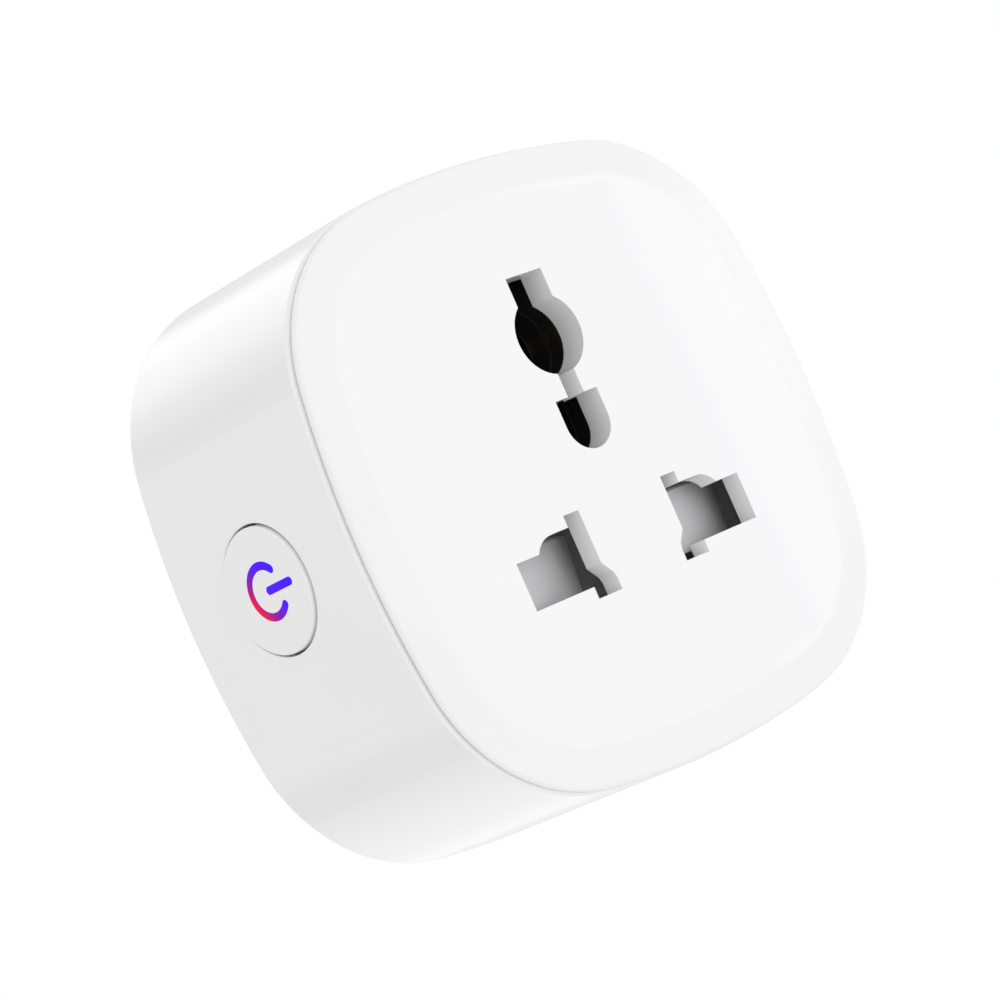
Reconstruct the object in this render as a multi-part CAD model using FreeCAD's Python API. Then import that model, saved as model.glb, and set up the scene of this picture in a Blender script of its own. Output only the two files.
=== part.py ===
"""A smart plug with a multi-standard socket face and a three-pin mains plug behind it.

The frame is the plug as it sits in a wall socket: +X is to the right of someone who faces it, +Y points
into the wall and +Z is up. The origin is the centre of the rear face, which rests on the wall socket.
All sizes are in millimetres.
"""

import FreeCAD, Part
import math
import os

from FreeCAD import Vector

# ---------------------------------------------------------------- driving dimensions
DEPTH = 28.8                 # front face to rear face
COVER_HALF = 29.15           # half the width of the front cover, and half its height
CORNER_RADIUS = 16.5         # radius of the cover's corners
SIDE_RADIUS = 92.5           # radius of the cover's gently bowed sides
HOUSING_STEP = 0.25          # the housing's rim stands this far outside the cover
HOUSING_DRAFT = 0.55         # the housing is this much wider on each side at the rear
WALL = 2.0
SEAM_DEPTH = 1.6             # front face to the housing's front rim
SEAM_GAP = 0.1               # between the cover's rim and the housing's front rim
SEAM_GROOVE = 0.7            # how deep the seam's groove goes in under the cover's edge
CLEARANCE = 0.15

EDGE_SLOPE_INSET = 3.65      # the cover's face slopes down over this width at its edge
EDGE_SLOPE_DROP = 0.65
SEAM_FILLET = 0.44           # rounds the back edge of the cover's rim, at the seam
EDGE_FILLET = 0.42           # rounds the front edge of the cover's rim, below the slope
EDGE_BLEND = 9.0

PLATE = 2.2                  # thickness of the cover's plate over the shutter
EARTH_PLATE = 3.1            # thickness of the cover's plate round the earth hole

PIN_PITCH = 22.23            # line to neutral, and earth above their line
LINE_Z = -8.95               # height of the line and neutral pins
EARTH_Z = LINE_Z + PIN_PITCH
LINE_X = PIN_PITCH / 2

BLADE_X = 6.35               # flat-blade plugs: half their pitch
BLADE_SLOT = (1.92, 8.1)     # width and height of a blade slot
BLADE_Z = -8.34
ROUND_X = 9.5                # round-pin plugs: half their pitch
ROUND_Z = -8.0
ROUND_HOLE_R = 2.58
BLOCK_SLOT = (6.88, 4.57)    # width and height of a rectangular pin's slot
SLANT_INNER_X = 4.31         # inner end of the slanted-blade slot, level with the blade slot's foot

EARTH_SLOT_HALF = 2.24
EARTH_SLOT_TOP = 17.66
EARTH_ROUND_Z = 11.64
EARTH_ROUND_R = 3.89
CHANNEL_HALF = 1.03
D_HOLE_HALF = 2.66
D_HOLE_TOP = 5.56
D_HOLE_Z = 2.95

BUTTON_Y = -13.96
BUTTON_R = 6.0
BUTTON_GAP = 0.26
BUTTON_PROUD = 0.32
BUTTON_FILLET = 0.2
ICON_RING_Y = BUTTON_Y - 0.15
ICON_RING_R = 2.4
ICON_STROKE = 0.8
ICON_GAP_ANGLE = 45.0
ICON_BAR_LENGTH = 3.27       # between the centres of the bar's round ends
ICON_BAR_START = -0.29       # from the ring's centre

SHUTTER_TRAVEL = 11.3
SCREW_AT = 18.3              # distance of the four screws from each centre plane
BOSS_R = 3.0
BOARD_BACK = -3.2
BOARD_THICK = 1.6

# ---------------------------------------------------------------- planes worked out from them
FRONT = -DEPTH
RIM = FRONT + SEAM_DEPTH
PLATE_BACK = FRONT + PLATE
EARTH_BACK = FRONT + EARTH_PLATE
BOARD_FRONT = BOARD_BACK - BOARD_THICK
SIDE_CENTRE = COVER_HALF - SIDE_RADIUS
CORNER_AT = (SIDE_CENTRE + math.sqrt(2 * (SIDE_RADIUS - CORNER_RADIUS) ** 2 - SIDE_CENTRE ** 2)) / 2
SHUTTER_FRONT = PLATE_BACK + CLEARANCE
SHUTTER_BACK = -22.0
TRAY_FRONT = SHUTTER_BACK + 0.1
TRAY_BACK = TRAY_FRONT + 1.2
CONTACT_BACK = BOARD_FRONT - 0.2
TOWER_BACK = BOARD_FRONT - 0.05


# ---------------------------------------------------------------- shape helpers
def arc(start, middle, end):
    return Part.Arc(Vector(*start), Vector(*middle), Vector(*end)).toShape()


def outline(offset, y):
    """The object's rounded-square outline, grown by offset, as a closed wire in the plane at y."""
    side = SIDE_RADIUS + offset
    corner = CORNER_RADIUS + offset
    tangent = math.atan2(CORNER_AT - SIDE_CENTRE, CORNER_AT)
    edges = []
    for quarter in range(4):
        turn = quarter * math.pi / 2

        def place(x, z):
            return (x * math.cos(turn) - z * math.sin(turn), y, x * math.sin(turn) + z * math.cos(turn))

        def on_corner(angle):
            return place(CORNER_AT + corner * math.cos(angle), CORNER_AT + corner * math.sin(angle))

        def on_side(angle):
            return place(side * math.cos(angle), SIDE_CENTRE + side * math.sin(angle))

        edges.append(arc(on_corner(math.pi / 2 - tangent), on_corner(math.pi / 4), on_corner(tangent)))
        edges.append(arc(on_side(tangent), on_side(math.pi / 2), on_side(math.pi - tangent)))
    return Part.Wire(edges)


def outline_slab(offset, y0, y1):
    return Part.Face(outline(offset, y0)).extrude(Vector(0, y1 - y0, 0))


def drafted_slab(front_offset, y0, rear_offset, y1):
    return Part.makeLoft([outline(front_offset, y0), outline(rear_offset, y1)], True, True)


def box(x0, x1, y0, y1, z0, z1):
    return Part.makeBox(x1 - x0, y1 - y0, z1 - z0, Vector(x0, y0, z0))


def cylinder(radius, start, end):
    axis = Vector(*end) - Vector(*start)
    return Part.makeCylinder(radius, axis.Length, Vector(*start), axis)


def polygon(points):
    return Part.Face(Part.makePolygon([Vector(*p) for p in points + points[:1]]))


def prism_y(points, y0, y1):
    """A prism along Y over (x, z) points."""
    return polygon([(x, y0, z) for x, z in points]).extrude(Vector(0, y1 - y0, 0))


def prism_z(points, z0, z1):
    """A prism along Z over (x, y) points."""
    return polygon([(x, y, z0) for x, y in points]).extrude(Vector(0, 0, z1 - z0))


def prism_x(points, x0, x1):
    """A prism along X over (y, z) points."""
    return polygon([(x0, y, z) for y, z in points]).extrude(Vector(x1 - x0, 0, 0))


def ribbon(points, thickness):
    """The outline of a bent strip of sheet metal along a line of (u, v) points."""
    half = thickness / 2
    left, right = [], []
    for i, (u, v) in enumerate(points):
        before = points[max(i - 1, 0)]
        after = points[min(i + 1, len(points) - 1)]
        headings = []
        for (u0, v0), (u1, v1) in ((before, (u, v)), ((u, v), after)):
            length = math.hypot(u1 - u0, v1 - v0)
            if length:
                headings.append(((u1 - u0) / length, (v1 - v0) / length))
        du = sum(h[0] for h in headings) / len(headings)
        dv = sum(h[1] for h in headings) / len(headings)
        stretch = half / (du * du + dv * dv)
        left.append((u - dv * stretch, v + du * stretch))
        right.append((u + dv * stretch, v - du * stretch))
    return left + right[::-1]


def fuse(shapes):
    merged = shapes[0].fuse(shapes[1:]) if len(shapes) > 1 else shapes[0]
    return merged.removeSplitter()


def edges_where(shape, test):
    """The edges whose two ends and middle all pass the test."""
    found = []
    for edge in shape.Edges:
        span = edge.LastParameter - edge.FirstParameter
        spots = [edge.valueAt(edge.FirstParameter + span * t) for t in (0.02, 0.5, 0.98)]
        if all(test(p) for p in spots):
            found.append(edge)
    return found


def mirror_x(shape):
    return shape.mirror(Vector(0, 0, 0), Vector(1, 0, 0))


def at_corners(make):
    return [make(sx * SCREW_AT, sz * SCREW_AT) for sx in (-1, 1) for sz in (-1, 1)]


# ---------------------------------------------------------------- socket openings
def power_opening(y0, y1, grow=0.0):
    """The right-hand power opening: rectangular, flat-blade, slanted-blade and round pins in one shape."""
    width, height = BLOCK_SLOT
    block_outer = LINE_X + width / 2 + grow
    blade_in = BLADE_X - BLADE_SLOT[0] / 2 - grow
    blade_out = BLADE_X + BLADE_SLOT[0] / 2 + grow
    blade_top = BLADE_Z + BLADE_SLOT[1] / 2 + grow
    blade_foot = BLADE_Z - BLADE_SLOT[1] / 2 - grow
    round_top = ROUND_Z + ROUND_HOLE_R + grow
    block_low = LINE_Z - height / 2 - grow
    block_high = LINE_Z + height / 2 + grow
    slant_inner = SLANT_INNER_X - grow
    slant_turn_z = LINE_Z - 0.55
    block = box(blade_in, block_outer, y0, y1, block_low, block_high)
    blade = box(blade_in, blade_out, y0, y1, blade_foot, blade_top)
    hole = cylinder(ROUND_HOLE_R + grow, (ROUND_X, y0, ROUND_Z), (ROUND_X, y1, ROUND_Z))
    web = box(blade_in, ROUND_X, y0, y1, LINE_Z, round_top)
    slant = prism_y(
        [
            (blade_out, slant_turn_z),
            (blade_in, slant_turn_z),
            (slant_inner + 0.16, blade_foot + 1.75),
            (slant_inner, blade_foot + 1.15),
            (slant_inner, blade_foot),
            (blade_out, blade_foot),
        ],
        y0,
        y1,
    )
    return fuse([block, blade, hole, web, slant])


def earth_opening(y0, y1, grow=0.0):
    """The earth opening: a rectangular slot through a round hole, as one shape."""
    half = EARTH_SLOT_HALF + grow
    slot = box(-half, half, y0, y1, EARTH_ROUND_Z, EARTH_SLOT_TOP + grow)
    hole = cylinder(EARTH_ROUND_R + grow, (0, y0, EARTH_ROUND_Z), (0, y1, EARTH_ROUND_Z))
    return fuse([slot, hole])


def d_opening(y0, y1, grow=0.0):
    half = D_HOLE_HALF + grow
    top = box(-half, half, y0, y1, D_HOLE_Z, D_HOLE_TOP + grow)
    foot = cylinder(half, (0, y0, D_HOLE_Z), (0, y1, D_HOLE_Z))
    return fuse([top, foot])


# ---------------------------------------------------------------- enclosure
def front_cover():
    """The socket face: a pillow-edged plate with a locating skirt and four screw bosses."""
    slab = outline_slab(0, FRONT, RIM - SEAM_GAP)
    slope = edges_where(slab, lambda p: abs(p.y - FRONT) < 1e-6)
    drop = EDGE_SLOPE_DROP
    slab = sloped_edge(slab, slope, drop)
    slab = slab.makeFillet(SEAM_FILLET, edges_where(slab, lambda p: abs(p.y - RIM + SEAM_GAP) < 1e-6))
    seat = outline_slab(-SEAM_GROOVE, RIM - SEAM_GAP - 0.2, RIM)
    skirt_outer = HOUSING_STEP - WALL - CLEARANCE
    plug = outline_slab(skirt_outer, RIM - 0.2, PLATE_BACK)
    body = fuse([slab, seat, plug])
    skirt = outline_slab(skirt_outer, PLATE_BACK - 0.1, PLATE_BACK + 4.0)
    skirt = skirt.cut(outline_slab(skirt_outer - 1.2, PLATE_BACK - 1, PLATE_BACK + 5))
    path_end = SHUTTER_LEFT - SHUTTER_TRAVEL
    path_z = (LOW_RAIL_Z[0] - 0.6, TOP_RAIL_Z[1] + 0.75)
    path = box(path_end - 3, path_end + 5, PLATE_BACK, PLATE_BACK + 5, *path_z)
    skirt = skirt.cut(path)
    pad = box(-6.6, 6.6, PLATE_BACK - 0.1, EARTH_BACK, -0.1, EARTH_SLOT_TOP + 2.4)
    bosses = at_corners(lambda x, z: cylinder(BOSS_R, (x, PLATE_BACK - 0.1, z), (x, -4.0, z)))
    body = fuse([body, skirt, pad] + bosses)
    right = power_opening(FRONT - 1, PLATE_BACK + 1)
    pilots = at_corners(lambda x, z: cylinder(1.15, (x, -16.0, z), (x, -3.0, z)))
    channel = box(-CHANNEL_HALF, CHANNEL_HALF, FRONT - 1, EARTH_BACK + 1, D_HOLE_TOP - 0.5, EARTH_ROUND_Z)
    openings = fuse(
        [
            earth_opening(FRONT - 1, EARTH_BACK + 1),
            d_opening(FRONT - 1, EARTH_BACK + 1),
            channel,
        ]
    )
    return body.cut([right, mirror_x(right), openings] + pilots)


def sloped_edge(slab, front_edges, drop):
    """Slopes the slab's face down to its rim over a wide band and rounds both ends of the slope."""
    sloped = slab.makeChamfer(drop, EDGE_SLOPE_INSET, front_edges)
    low = edges_where(sloped, lambda p: abs(p.y - FRONT - drop) < 1e-4)
    high = edges_where(sloped, lambda p: abs(p.y - FRONT) < 1e-4)
    if sloped.BoundBox.XMax < COVER_HALF - 1 or not low or not high:
        raise RuntimeError("the slope came out the wrong way round")
    sloped = sloped.makeFillet(EDGE_FILLET, low)
    high = edges_where(sloped, lambda p: abs(p.y - FRONT) < 1e-4)
    return sloped.makeFillet(EDGE_BLEND, high)


def housing_outer(grow=0.0):
    return drafted_slab(HOUSING_STEP + grow, RIM, HOUSING_STEP + HOUSING_DRAFT + grow, 0)


def housing_shell():
    """The deep drafted sleeve between the cover and the rear base, with the button's hole."""
    outer = housing_outer()
    outer = outer.makeFillet(0.3, edges_where(outer, lambda p: abs(p.y - RIM) < 1e-6))
    outer = outer.makeFillet(0.7, edges_where(outer, lambda p: abs(p.y) < 1e-6))
    inner = drafted_slab(HOUSING_STEP - WALL, RIM - 1, HOUSING_STEP + HOUSING_DRAFT - WALL, 1)
    shell = outer.cut(inner)
    ledge = outline_slab(HOUSING_STEP + HOUSING_DRAFT - WALL + 0.3, -3.8, -2.55)
    ledge = ledge.cut(outline_slab(HOUSING_STEP + HOUSING_DRAFT - WALL - 1.7, -5, 0))
    shell = fuse([shell, ledge.common(housing_outer(-0.8))])
    hole = cylinder(BUTTON_R + BUTTON_GAP, (-40, BUTTON_Y, 0), (-20, BUTTON_Y, 0))
    return shell.cut(hole)


def pin_hole(width, height, x, z):
    across, along = width / 2 + 0.05, height / 2 + 0.05
    return box(x - across, x + across, -9, 1, z - along, z + along)


def rear_base():
    """The plate that carries the three pins and closes the housing at the wall."""
    plate = outline_slab(HOUSING_STEP + HOUSING_DRAFT - WALL - CLEARANCE, -2.4, 0)
    pads = at_corners(lambda x, z: cylinder(4.0, (x, -3.9, z), (x, -1, z)))
    plate = fuse([plate] + pads)
    supports = [cylinder(1.2, (x, BOARD_BACK + 0.03, z), (x, -2, z))
                for x, z in ((-23, -6), (-23, 6), (23, -6), (23, 6), (0, -23), (0, 23))]
    plate = fuse([plate] + supports)
    cuts = [pin_hole(6.35, 4.0, sx * LINE_X, LINE_Z) for sx in (-1, 1)]
    cuts.append(pin_hole(4.0, 8.0, 0, EARTH_Z))
    cuts += at_corners(lambda x, z: cylinder(3.0, (x, -2.6, z), (x, 1, z)))
    cuts += at_corners(lambda x, z: cylinder(1.6, (x, -5, z), (x, 1, z)))
    return plate.cut(cuts)


def housing_screws():
    """Four self-tapping screws, countersunk in the rear base and driven into the cover's bosses."""
    screws = []
    for x, z in [(sx * SCREW_AT, sz * SCREW_AT) for sx in (-1, 1) for sz in (-1, 1)]:
        head = cylinder(2.7, (x, -2.55, z), (x, -0.9, z))
        head = head.makeFillet(0.5, edges_where(head, lambda p: abs(p.y + 0.9) < 1e-6))
        shank = cylinder(1.13, (x, -12.5, z), (x, -2.5, z))
        cross = fuse(
            [
                box(x - 1.5, x + 1.5, -1.9, 0, z - 0.28, z + 0.28),
                box(x - 0.28, x + 0.28, -1.9, 0, z - 1.5, z + 1.5),
            ]
        )
        screws.append(fuse([head, shank]).cut(cross))
    return Part.makeCompound(screws)


# ---------------------------------------------------------------- plug pins
def tapered_pin(width, height, x, z, length):
    """A rectangular brass pin with chamfered edges at its tip."""
    pin = box(x - width / 2, x + width / 2, -2.4, length, z - height / 2, z + height / 2)
    tip = edges_where(pin, lambda p: abs(p.y - length) < 1e-6)
    pin = pin.makeChamfer(0.9, tip)
    return pin


def power_pin(x):
    """A line or neutral pin. Its stem is necked under the insulating sleeve."""
    pin = tapered_pin(6.35, 4.0, x, LINE_Z, 17.7)
    neck_tool = box(x - 4, x + 4, 0, 9.2, LINE_Z - 3, LINE_Z + 3)
    neck_tool = neck_tool.cut(box(x - 2.4, x + 2.4, -1, 10, LINE_Z - 1.3, LINE_Z + 1.3))
    flange = box(x - 4.0, x + 4.0, -3.1, -2.4, LINE_Z - 2.8, LINE_Z + 2.8)
    tail = box(x - 1.3, x + 1.3, BOARD_FRONT - 0.1, -3.1, LINE_Z - 0.5, LINE_Z + 0.5)
    return fuse([pin.cut(neck_tool), flange, tail])


def pin_sleeve(x):
    sleeve = box(x - 3.175, x + 3.175, 0.02, 9.18, LINE_Z - 2.0, LINE_Z + 2.0)
    sleeve = sleeve.makeFillet(0.3, [e for e in sleeve.Edges if abs(e.tangentAt(0).y) > 0.99])
    return sleeve.cut(box(x - 2.4, x + 2.4, -1, 10, LINE_Z - 1.3, LINE_Z + 1.3))


def earth_pin():
    pin = tapered_pin(4.0, 8.0, 0, EARTH_Z, 22.7)
    flange = box(-2.8, 2.8, -3.1, -2.4, EARTH_Z - 4.8, EARTH_Z + 4.8)
    tail = box(-0.5, 0.5, BOARD_FRONT - 0.1, -3.1, EARTH_Z - 1.3, EARTH_Z + 1.3)
    return fuse([pin, flange, tail])


# ---------------------------------------------------------------- shutter
SHUTTER_LEFT = -14.8
SHUTTER_RIGHT = 16.4
LEFT_RAMP_END = (-4.4, -3.0)     # at its foot and at its top
RIGHT_RAMP_START = 4.6
RIGHT_RAMP_END = (15.9, 17.2)
RAMP_CURVE = 30.0            # radius of a ramp's rounded face
RAMP_LEAD_IN = 6.0           # degrees that the face already slopes at its left end
RAMP_LIP = 0.4
RAMP_Z = (-11.7, -5.5)
TOP_RAIL_Z = (-4.1, -0.45)
LOW_RAIL_Z = (-14.2, -12.6)
GUIDE_GAP = 0.15
TRAY_HALF = 19.8
SPRING_PEG = (0.2, 1.0)
SPRING_END = 15.4
SPRING_Z = -2.25
SPRING_Y = -24.0


def ramp_face(lip, reach):
    """The rounded sliding face: an arc in (x, y) that gets steeper and deeper to the right."""
    lead_in = math.radians(RAMP_LEAD_IN)
    steepest = math.asin(math.sin(lead_in) + reach / RAMP_CURVE)

    def place(slope):
        x = lip + RAMP_CURVE * (math.sin(slope) - math.sin(lead_in))
        return (x, SHUTTER_FRONT + RAMP_CURVE * (math.cos(lead_in) - math.cos(slope)), RAMP_Z[0])

    return arc(place(lead_in), place((lead_in + steepest) / 2), place(steepest)), place(steepest)


def ramp(x0, ends):
    """A wedge that a pin pushes aside. Its end leans, and webs join it to both rails."""
    back = SHUTTER_BACK
    foot_end, top_end = ends
    lip = x0 + RAMP_LIP
    face, (x1, low_end, foot) = ramp_face(lip, top_end - lip)
    corners = [Vector(x1, low_end, foot), Vector(x1, back, foot), Vector(x0, back, foot)]
    corners += [Vector(x0, SHUTTER_FRONT, foot), Vector(lip, SHUTTER_FRONT, foot)]
    sides = [Part.LineSegment(a, b).toShape() for a, b in zip(corners, corners[1:])]
    wedge = Part.Face(Part.Wire([face] + sides)).extrude(Vector(0, 0, RAMP_Z[1] - foot))
    top_edge = edges_where(wedge, lambda p: p.x > lip - 1e-6 and p.y < back - 0.1 and p.z == RAMP_Z[1])
    wedge = wedge.makeChamfer(0.25, top_edge[:1])
    beyond = top_end + 2
    lean = prism_y([(foot_end, foot), (top_end, RAMP_Z[1]), (beyond, RAMP_Z[1] + 1),
                    (beyond, foot - 1), (foot_end, foot - 1)], SHUTTER_FRONT - 1, back + 1)
    wedge = wedge.cut(lean)
    top_web = box(x0, foot_end, back - 0.6, back, RAMP_Z[1] - 0.3, TOP_RAIL_Z[0] + 0.1)
    low_web = box(x0, x0 + 1.3, SHUTTER_FRONT, back, LOW_RAIL_Z[1] - 0.1, RAMP_Z[0] + 0.3)
    return fuse([wedge, top_web, low_web])


def shutter():
    """One slider with two ramps: it moves to the left only when both power pins push it together."""
    left = ramp(SHUTTER_LEFT, LEFT_RAMP_END)
    right = ramp(RIGHT_RAMP_START, RIGHT_RAMP_END)
    depth = (SHUTTER_FRONT, SHUTTER_BACK)
    rails = [box(SHUTTER_LEFT + 0.8, SHUTTER_RIGHT, *depth, *span) for span in (TOP_RAIL_Z, LOW_RAIL_Z)]
    pocket_z = (SPRING_Z - 1.5, SPRING_Z + 1.5)
    pocket = box(SPRING_PEG[0] - 0.05, SPRING_END, SPRING_Y - 1.5, SHUTTER_BACK + 1, *pocket_z)
    return fuse([left, right] + rails).cut(pocket)


def shutter_tray():
    """The grey plate that the shutter slides on, with guide ribs above and below it and the spring's peg."""
    foot, crown = LOW_RAIL_Z[0] - 1.0, 0.2
    plate = box(-TRAY_HALF, TRAY_HALF, TRAY_FRONT, TRAY_BACK, foot, crown)
    rib_front = PLATE_BACK + 0.1
    low_rib = box(-TRAY_HALF, TRAY_HALF, rib_front, TRAY_FRONT, foot, LOW_RAIL_Z[0] - GUIDE_GAP)
    top_ribs = [
        box(min(sx * 6.8, sx * TRAY_HALF), max(sx * 6.8, sx * TRAY_HALF), rib_front, TRAY_FRONT,
            TOP_RAIL_Z[1] + GUIDE_GAP, crown)
        for sx in (-1, 1)
    ]
    peg = box(SPRING_PEG[0], SPRING_PEG[1], SPRING_Y - 1.3, TRAY_FRONT + 0.1, SPRING_Z - 1.2, SPRING_Z + 1.2)
    body = fuse([plate, low_rib, peg] + top_ribs)
    right = power_opening(TRAY_FRONT - 1, TRAY_BACK + 1, 0.15)
    return body.cut([right, mirror_x(right)])


def shutter_spring():
    """The compression spring between the tray's peg and the pocket's right end, as a plain tube."""
    start = Vector(SPRING_PEG[1] + 0.05, SPRING_Y, SPRING_Z)
    end = Vector(SPRING_END - 0.05, SPRING_Y, SPRING_Z)
    return cylinder(1.15, start, end).cut(cylinder(0.85, start, end))


# ---------------------------------------------------------------- contacts and their carrier
TOWER_WALL = 1.0


def contact_carrier():
    """The black moulding that boxes in the three contacts. Its turret lines the earth opening."""
    turret_front = EARTH_BACK + 0.1
    turret = box(-6.6, 6.6, turret_front, TRAY_BACK + 0.1, 0.3, 20.2)
    wall = TOWER_WALL
    power_boxes = [box(sx * 9.6 - 7.2, sx * 9.6 + 7.2, TRAY_BACK, TOWER_BACK, -15.2, -2.2) for sx in (-1, 1)]
    earth_box = box(-6.6, 6.6, TRAY_BACK, TOWER_BACK, -0.6, 20.2)
    bridge = box(-6.6, 6.6, TRAY_BACK, TOWER_BACK, -2.3, -0.5)
    body = fuse([turret, earth_box, bridge] + power_boxes)
    rooms = [
        box(sx * 9.6 - 7.2 + wall, sx * 9.6 + 7.2 - wall, TRAY_BACK - 1, 0, -15.2 + wall, -2.2 - wall)
        for sx in (-1, 1)
    ]
    rooms.append(box(-6.6 + wall, 6.6 - wall, TRAY_BACK, 0, -0.6 + wall, 20.2 - wall))
    ledge = turret_front + 2.1
    mouths = [opening(turret_front - 1, ledge, 0.2) for opening in (earth_opening, d_opening)]
    throats = [opening(turret_front, TRAY_BACK + 1, 0.05) for opening in (earth_opening, d_opening)]
    return body.cut(rooms + mouths + throats)


LEAF = 0.6


def leaf_line(throat, mouth, y_mouth, y_throat, y_base, base_half):
    """The middle line of one spring leaf: (across, y) points from its mouth to its base."""
    half = LEAF / 2
    return [
        (mouth / 2 + half, y_mouth),
        (throat / 2 + half, y_throat),
        (base_half - half, y_throat + 6.5),
        (base_half - half, y_base),
    ]


def power_contact(sign):
    """A bronze clip with leaves above and below the pin, and side leaves for flat blades."""
    x = sign * 9.6
    base_half = 5.2
    upper = leaf_line(3.4, 6.2, -20.3, -17.0, CONTACT_BACK - 0.4, base_half)
    leaves = []
    for side in (-1, 1):
        points = [(y, LINE_Z + side * v) for v, y in upper]
        leaves.append(prism_x(ribbon(points, LEAF), x - 2.2 * sign, x + 4.6 * sign))
    blade_x = sign * BLADE_X
    for side in (-1, 1):
        points = [
            (blade_x + side * 1.55, -20.3),
            (blade_x + side * 0.85, -17.6),
            (blade_x + side * 1.1, -11.0),
            (blade_x + side * 1.1, CONTACT_BACK - 0.4),
        ]
        leaves.append(prism_z(ribbon(points, LEAF * 0.7), LINE_Z - 1.0, LINE_Z + 1.0))
    base = box(x - 5.4, x + 5.4, CONTACT_BACK - 0.8, CONTACT_BACK, LINE_Z - base_half, LINE_Z + base_half)
    tail = box(x - 1.2, x + 1.2, CONTACT_BACK, BOARD_BACK + 0.5, LINE_Z + 3.4, LINE_Z + 4.2)
    return fuse([base, tail] + leaves)


def earth_contact():
    """The earth clip: long leaves for the tall earth pins and a short pair for the D-shaped one."""
    base_half = 4.6
    upper = leaf_line(3.4, 6.4, -20.3, -17.0, CONTACT_BACK - 0.4, base_half)
    shapes = []
    for side in (-1, 1):
        points = [(side * v, y) for v, y in upper]
        shapes.append(prism_z(ribbon(points, LEAF), EARTH_Z - 3.9, EARTH_Z + 3.6))
        low = [
            (side * 3.0, -20.3),
            (side * 2.3, -17.6),
            (side * 2.9, -11.0),
            (side * 2.9, CONTACT_BACK - 0.4),
        ]
        shapes.append(prism_z(ribbon(low, LEAF), 1.2, 4.8))
    base = box(-base_half, base_half, CONTACT_BACK - 0.8, CONTACT_BACK, 1.0, EARTH_Z + 4.4)
    tail = box(-1.2, 1.2, CONTACT_BACK, BOARD_BACK + 0.5, 2.2, 3.0)
    return fuse([base, tail] + shapes)


# ---------------------------------------------------------------- power button
def icon_solid(x0, x1):
    """The standby symbol as a broken ring and a bar, turned so that its top is towards the front."""
    outer = ICON_RING_R + ICON_STROKE / 2
    inner = ICON_RING_R - ICON_STROKE / 2
    centre_y = ICON_RING_Y
    ring = cylinder(outer, (x0, centre_y, 0), (x1, centre_y, 0))
    ring = ring.cut(cylinder(inner, (x0 - 1, centre_y, 0), (x1 + 1, centre_y, 0)))
    reach = 2 * outer
    spread = reach * math.tan(math.radians(ICON_GAP_ANGLE))
    wedge = prism_x([(centre_y, 0), (centre_y - reach, spread), (centre_y - reach, -spread)], x0 - 1, x1 + 1)
    ring = ring.cut(wedge)
    ends = []
    for side in (-1, 1):
        angle = math.radians(ICON_GAP_ANGLE)
        y = centre_y - ICON_RING_R * math.cos(angle)
        z = side * ICON_RING_R * math.sin(angle)
        ends.append(cylinder(ICON_STROKE / 2, (x0, y, z), (x1, y, z)))
    start = centre_y + ICON_BAR_START
    end = start - ICON_BAR_LENGTH
    half = ICON_STROKE / 2
    bar = fuse(
        [
            box(x0, x1, end, start, -half, half),
            cylinder(half, (x0, start, 0), (x1, start, 0)),
            cylinder(half, (x0, end, 0), (x1, end, 0)),
        ]
    )
    return fuse([ring] + ends), bar


CAP_BACK = -28.75            # inner side of the cap's face
SKIRT_BACK = -26.4
FLANGE_FRONT = -27.2
PLUNGER_TIP = -25.55
BUTTON_BOARD = (-22.3, -21.3)


def power_button():
    """The round cap in the housing's left side, with a retaining flange inside the wall."""
    solid = cylinder(BUTTON_R, (-40, BUTTON_Y, 0), (SKIRT_BACK, BUTTON_Y, 0))
    cap = solid.common(housing_outer(BUTTON_PROUD))
    rim = edges_where(cap, lambda p: p.x < -29 and abs(math.hypot(p.y - BUTTON_Y, p.z) - BUTTON_R) < 1e-3)
    cap = cap.makeFillet(BUTTON_FILLET, rim)
    flange = cylinder(BUTTON_R + 0.9, (FLANGE_FRONT, BUTTON_Y, 0), (SKIRT_BACK, BUTTON_Y, 0))
    hollow = cylinder(BUTTON_R - 1.1, (CAP_BACK, BUTTON_Y, 0), (SKIRT_BACK + 1, BUTTON_Y, 0))
    ring, bar = icon_solid(-31, CAP_BACK + 1)
    return fuse([cap, flange]).cut([hollow, ring, bar])


def icon_light_guide():
    """The clear part behind the cap: the symbol fills the cap's cut-outs and a stem presses the switch."""
    ring, bar = icon_solid(-31, CAP_BACK + 0.3)
    face = housing_outer(BUTTON_PROUD)
    disc = cylinder(BUTTON_R - 1.2, (CAP_BACK, BUTTON_Y, 0), (CAP_BACK + 1.0, BUTTON_Y, 0))
    stem = cylinder(1.5, (CAP_BACK + 0.9, BUTTON_Y, 0), (PLUNGER_TIP - 0.25, BUTTON_Y, 0))
    return fuse([disc, stem, ring.common(face), bar.common(face)])




def tact_switch_body():
    back = BUTTON_BOARD[0]
    front = back - 2.2
    body = box(front, back, BUTTON_Y - 2.6, BUTTON_Y + 2.6, -2.6, 2.6)
    well = cylinder(1.35, (front - 1, BUTTON_Y, 0), (front + 1.4, BUTTON_Y, 0))
    legs = [
        box(back - 0.5, back, y - 0.5, y + 0.5, z, z + 0.7)
        for y in (BUTTON_Y - 3.0, BUTTON_Y + 3.0)
        for z in (-2.1, 1.4)
    ]
    return fuse([body] + legs).cut(well)


def tact_switch_plunger():
    x0 = BUTTON_BOARD[0] - 2.2
    stem = cylinder(1.2, (PLUNGER_TIP, BUTTON_Y, 0), (x0 + 0.9, BUTTON_Y, 0))
    return stem.makeFillet(0.2, edges_where(stem, lambda p: abs(p.x - PLUNGER_TIP) < 1e-6))


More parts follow.
